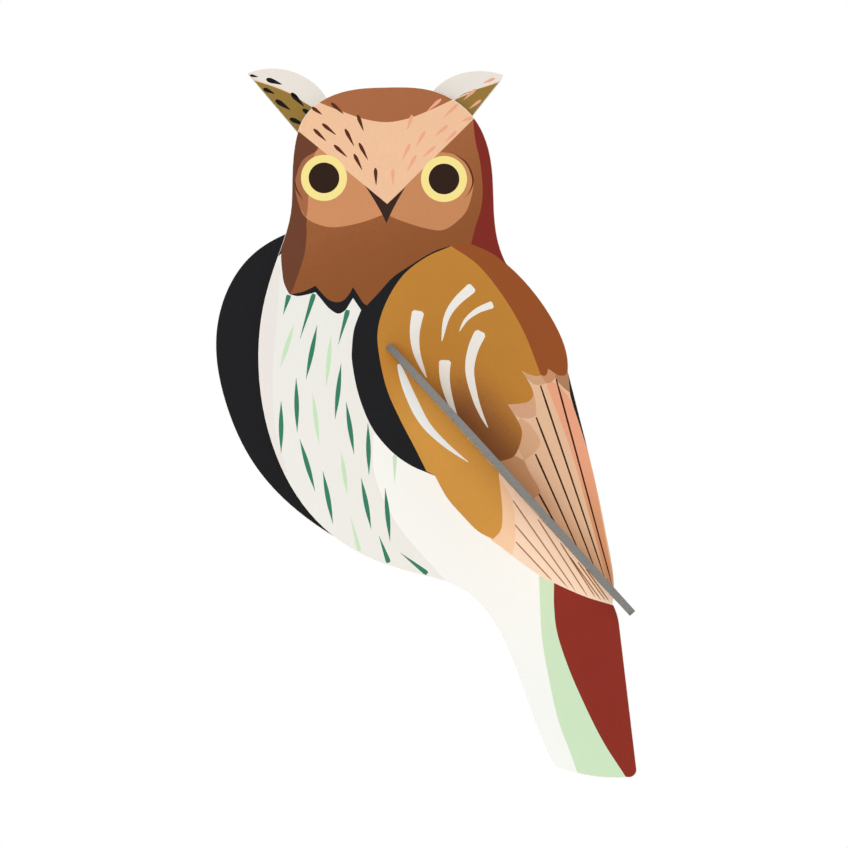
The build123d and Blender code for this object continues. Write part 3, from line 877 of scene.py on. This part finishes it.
# ---- ears ----
EARS = front_plane("ear_front_sheet")
LEFT_LOW = shape([(-51, 9.4), (-49.9, 9), (-48.1, 7.4), (-42.4, 5.5), (-37.5, 3.4), (-34.1, 1.1),
                  (-31.2, -0.8), (-20, -10)],
                 ((-20, -10), (-40, -14), (-51, 9.4)))
RIGHT_LOW = shape([(23, 7.8), (21.1, 7), (14.8, 4.8), (8.9, 2.1), (0, -8)], ((0, -8), (13, -14), (23, 7.8)))
EAR_FIELDS = [(None, EAR_CREAM), (LEFT_LOW, EAR_OCHRE), (RIGHT_LOW, EAR_OCHRE)]
add_sheet("ear_front_sheet", "figure", EARS, EAR_FIELDS, CORE)
EAR_DASHES = [
    (1.0, [(-49.2, 8.65), (-46.9, 8.2)]), (1.8, [(-44.6, 7.6), (-40.2, 6.1)]),
    (1.5, [(-45.4, 4.9), (-42.3, 3.5)]), (1.8, [(-37.6, 3.7), (-34, -0.1)]),
    (1.8, [(-42, 1.7), (-37.8, -1.1)]), (1.7, [(-34.4, -0.9), (-30.2, -3.4)]),
    (1.7, [(-38, -3.5), (-33.4, -5.5)]),
]
EAR_PINK_DASHES = [((19.6, 7.8), (16.2, 6.4)), ((14.3, 4.8), (10.8, 1.7)), ((15.7, 1.7), (12.3, -0.8))]
add_marks("ear_dashes", "figure", EARS, EAR_DASHES, NEAR_BLACK, "ear_print", nose=0.3)
EAR_LINES = [
    (0.4, [(-49, 8.2), (-48.1, 7.45), (-42.4, 5.55), (-37.5, 3.45), (-34.1, 1.15)]),
    (0.4, [(20.7, 6.9), (18, 5.95), (15.4, 5.05)]), (0.4, [(12.6, 3.8), (10.8, 3), (8.9, 2.15)]),
]
add_marks("ear_border_lines", "figure", EARS, EAR_LINES, BORDER_INK, "ear_print", nose=0.02, tail=0.2)
add_marks("ear_pink_dashes", "figure", EARS, same_width(1.1, EAR_PINK_DASHES), PINK, "ear_print", nose=0.3)

# ---- far wing ----
FAR = front_plane("far_wing_front_sheet")
add_sheet("far_wing_front_sheet", "far_wing", FAR, [(None, BLACK)], CORE)


# ---- blade, drawn along its fold and up from the figure ----
def blade_fields():
    """Colour fields of a face of the blade: the near wing's feathers carried on over it."""
    crown = [(-2, 4), (5, 8), (18, 20), (38, 29), (56, 27.5)]
    rust = shape(crown, ((56, 27.5), (62, 45), (-2, 45), (-2, 4)))
    scallops = [[(56, 27.5), (59.5, 24), (62, 20.5), (60, 17)],
                [(60, 17), (63, 14.5), (64.5, 10.5), (62, 7.5)],
                [(62, 7.5), (63.5, 5), (63.5, 2.5), (62, 0)]]
    feathers = shape(*scallops, ((62, 0), (105, -5), (105, 45), (60, 45), (56, 27.5)))
    upper = shape([(60, 45), (56, 27.5)], [(56, 27.5), (59.5, 24), (62, 20.5), (60, 17)],
                  ((60, 17), (98, 15.5), (105, 45), (60, 45)))
    return [(None, OCHRE_PLAIN), (rust, RUST), (feathers, FEATHERS_LIGHT), (upper, TAN)]


BLADE_STROKES = [
    (2.6, [(12, 7), (16, 12), (21, 15.5), (27, 17)]),
    (2.8, [(20, 5), (26, 9.5), (32.5, 12.5), (40, 13.5)]),
    (2.4, [(30, 20), (36, 22.5), (42.5, 23), (49, 21.5)]),
    (2.6, [(38, 5.5), (43.5, 8.5), (49, 9.5), (55, 8.5)]),
]
BLADE_SHAFTS = [
    ((61, 27), (95, 18.6)), ((62.5, 22.5), (96, 16.8)), ((62, 16.6), (95.5, 15)), ((64.5, 12), (95, 13.2)),
    ((63.5, 8.2), (91, 9.2)), ((64, 4.2), (92, 6.4)),
]
for label, side in (("left", 1), ("right", -1)):
    face = blade_plane(side)
    add_sheet(f"blade_{label}_sheet", "wing_blade", face, blade_fields(), BOARD)
    add_marks(f"blade_{label}_strokes", "wing_blade", face, BLADE_STROKES, WHITE_INK, "blade_print",
              nose=0.05, count=28)
    add_marks(f"blade_{label}_shafts", "wing_blade", face, same_width(0.5, BLADE_SHAFTS), SHAFT_DARK,
              "blade_print", nose=0.02, tail=0.3)

# ---- backs ----
FLECK_SPACING = 11.0
ROW_STEP = 0.8 * FLECK_SPACING
FLECK_SHIFT = 1.2          # how far a fleck strays from its place in the rows
FLECK_LEAN = 0.35
FLECK_HALF = 3.2
BACK_MARGIN = 1.5          # paper left clear along the edge
rng = random.Random(7)


def scattered_flecks(low_x, high_x, low_y, high_y, keep_in):
    """Short upright flecks in staggered rows, each turned and moved a little."""
    lines = []
    row = 0
    y = low_y
    while y < high_y:
        x = low_x + (FLECK_SPACING / 2 if row % 2 else 0)
        while x < high_x:
            spot_x = x + rng.uniform(-FLECK_SHIFT, FLECK_SHIFT)
            spot_y = y + rng.uniform(-FLECK_SHIFT, FLECK_SHIFT)
            lean = rng.uniform(-FLECK_LEAN, FLECK_LEAN)
            ends = ((spot_x - lean, spot_y + FLECK_HALF), (spot_x + lean, spot_y - FLECK_HALF))
            if all(inside(end, keep_in) for end in ends):
                lines.append(ends)
            x += FLECK_SPACING
        row += 1
        y += ROW_STEP
    return lines


BACKS = (("figure_back_sheet", "figure"), ("ear_back_sheet", "figure"), ("far_wing_back_sheet", "far_wing"))
for node, body in BACKS:
    face = back_plane(node)
    add_sheet(node, body, face, [(None, BACK_PAPER)], CORE)
    outline = max(cut_outlines(node, face), key=len)
    inner = offset_loop(outline, -BACK_MARGIN if face.flipped else BACK_MARGIN)
    flecks = scattered_flecks(*box_of(inner), inner)
    add_marks(f"{node}_flecks", body, face, same_width(1.1, flecks), BACK_FLECK, "back_print")


# ---- foam pads ----
FOAM = foam()
FOAM_ROUND = 0.35          # how far the knife draws the edge in
FOAM_SHOULDER = 0.08


def rounded_box(centre, width, height, corner, steps=6):
    """Outline of a rectangle with round corners."""
    cx, cy = centre
    points = []
    for k, (sx, sy) in enumerate(((1, 1), (-1, 1), (-1, -1), (1, -1))):
        for i in range(steps + 1):
            turn = math.pi / 2 * (k + i / steps)
            points.append((cx + sx * (width / 2 - corner) + corner * math.cos(turn),
                           cy + sy * (height / 2 - corner) + corner * math.sin(turn)))
    return points


def cut_foam(name, node, outlines, swell):
    """Die-cut foam: the knife rounds its edges and the squeezed middle swells."""
    low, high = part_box(node)
    front, back = low.y / MM, high.y / MM
    # each level is (part of the depth, growth of the outline)
    levels = [(0.0, -FOAM_ROUND), (0.05, -FOAM_SHOULDER)]
    levels += [(t, swell * math.sin(math.pi * t)) for t in (0.15, 0.3, 0.5, 0.7, 0.85)]
    levels += [(0.95, -FOAM_SHOULDER), (1.0, -FOAM_ROUND)]
    verts, faces = [], []
    for outline in outlines:
        size = len(outline)
        start = len(verts)
        for t, grow in levels:
            depth = front + (back - front) * t
            verts += [(x * MM, depth * MM, z * MM) for x, z in offset_loop(outline, -grow)]
        for k in range(len(levels) - 1):
            for i in range(size):
                j = (i + 1) % size
                a, b = start + k * size, start + (k + 1) * size
                faces.append([a + i, a + j, b + j, b + i])
        last = start + (len(levels) - 1) * size
        faces.append([start + i for i in reversed(range(size))])
        faces.append([last + i for i in range(size)])
    piece = new_object(name, verts, [list(reversed(face)) for face in faces], [FOAM])
    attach(piece, "figure")
    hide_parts(node)


WALL_PADS = [ring(spot, 5.0, 40) for spot in ((27, -57), (2, -118), (47, -177))]
EAR_PADS = [rounded_box(spot, 10, 7, 1.0) for spot in ((-26, -7), (-11, -6), (6, -5))]
cut_foam("wall_pads_foam", "wall_pads", WALL_PADS, swell=0.12)
cut_foam("ear_pads_foam", "ear_foam_pads", EAR_PADS, swell=0.05)

# ---- finishes of the plain parts ----
FINISHES = (
    (BOARD, ("figure_board", "ear_board", "far_wing_board", "blade_board", "blade_tabs", "lock_key_upper",
             "lock_key_middle", "lock_key_lower")),
    (kraft_card(), ("blade_hinge_paper", "hanger_strap")),
    (moulded_nylon(), ("wing_pivot_stud", "wing_pivot_cap")),
    (rolled_brass(), ("hanger_eyelet",)),
)
for material, nodes in FINISHES:
    for node in nodes:
        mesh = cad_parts[node].data
        mesh.materials.clear()
        mesh.materials.append(material)

# ---- floor, light and camera ----
VIEW_MIDDLE = Vector((-0.3, FACE_Y, -89.3)) * MM
VIEW_WIDTH = 237.4 * MM    # seen width at the figure's face
VIEW_DISTANCE = 0.9
SENSOR = 36.0
FILL = 0.3                 # light from all round
KEY_POWER = 16.5           # watts of the front softbox
FLOOR_REACH = 0.55
FLOOR_LEVEL = -0.31
SOFTBOXES = (
    # name, place from the middle of the owl in metres, side in metres, part of KEY_POWER
    ("front_softbox", (-0.2, -1.6, 0.15), 0.9, 1.0),
    ("ceiling_softbox", (0, 0.1, 1.5), 1.0, 0.8),
    ("wall_side_softbox", (0.5, 1.4, 0.5), 0.9, 0.6),
)

# painted studio floor: an even matt near-white
floor_paint, _, shader, _ = new_material("pale_floor")
shader.inputs["Base Color"].default_value = linear("#f2f1ee")
shader.inputs["Roughness"].default_value = 0.9
corners = [(x * FLOOR_REACH, y * FLOOR_REACH, FLOOR_LEVEL) for x, y in ((-1, -1), (1, -1), (1, 1), (-1, 1))]
floor = new_object("floor", corners, [[0, 1, 2, 3]], [floor_paint])

world = bpy.data.worlds.new("white_studio")
world.use_nodes = True
sky = world.node_tree
sky.nodes.clear()
seen = add(sky, "ShaderNodeLightPath").outputs["Is Camera Ray"]
strength = add(sky, "ShaderNodeMapRange", {"Value": seen, "To Min": FILL, "To Max": 1.0})
backdrop = add(sky, "ShaderNodeBackground", {"Color": (1, 1, 1, 1), "Strength": strength})
add(sky, "ShaderNodeOutputWorld", {"Surface": backdrop})
scene = bpy.context.scene
scene.world = world
scene.view_settings.view_transform = "Standard"

for name, spot, side, part in SOFTBOXES:
    light = bpy.data.objects.new(name, bpy.data.lights.new(name, "AREA"))
    scene.collection.objects.link(light)
    light.data.size = side
    light.data.energy = KEY_POWER * part
    light.location = VIEW_MIDDLE + Vector(spot)
    light.rotation_euler = (-Vector(spot)).to_track_quat("-Z", "Y").to_euler()

camera = bpy.data.objects.new("camera", bpy.data.cameras.new("camera"))
scene.collection.objects.link(camera)
camera.location = VIEW_MIDDLE - Vector((0, VIEW_DISTANCE, 0))
camera.rotation_euler = (math.pi / 2, 0, 0)
camera.data.sensor_width = SENSOR
camera.data.lens = SENSOR * VIEW_DISTANCE / VIEW_WIDTH
camera.data.clip_start = 0.05
scene.camera = camera

bpy.context.view_layer.update()
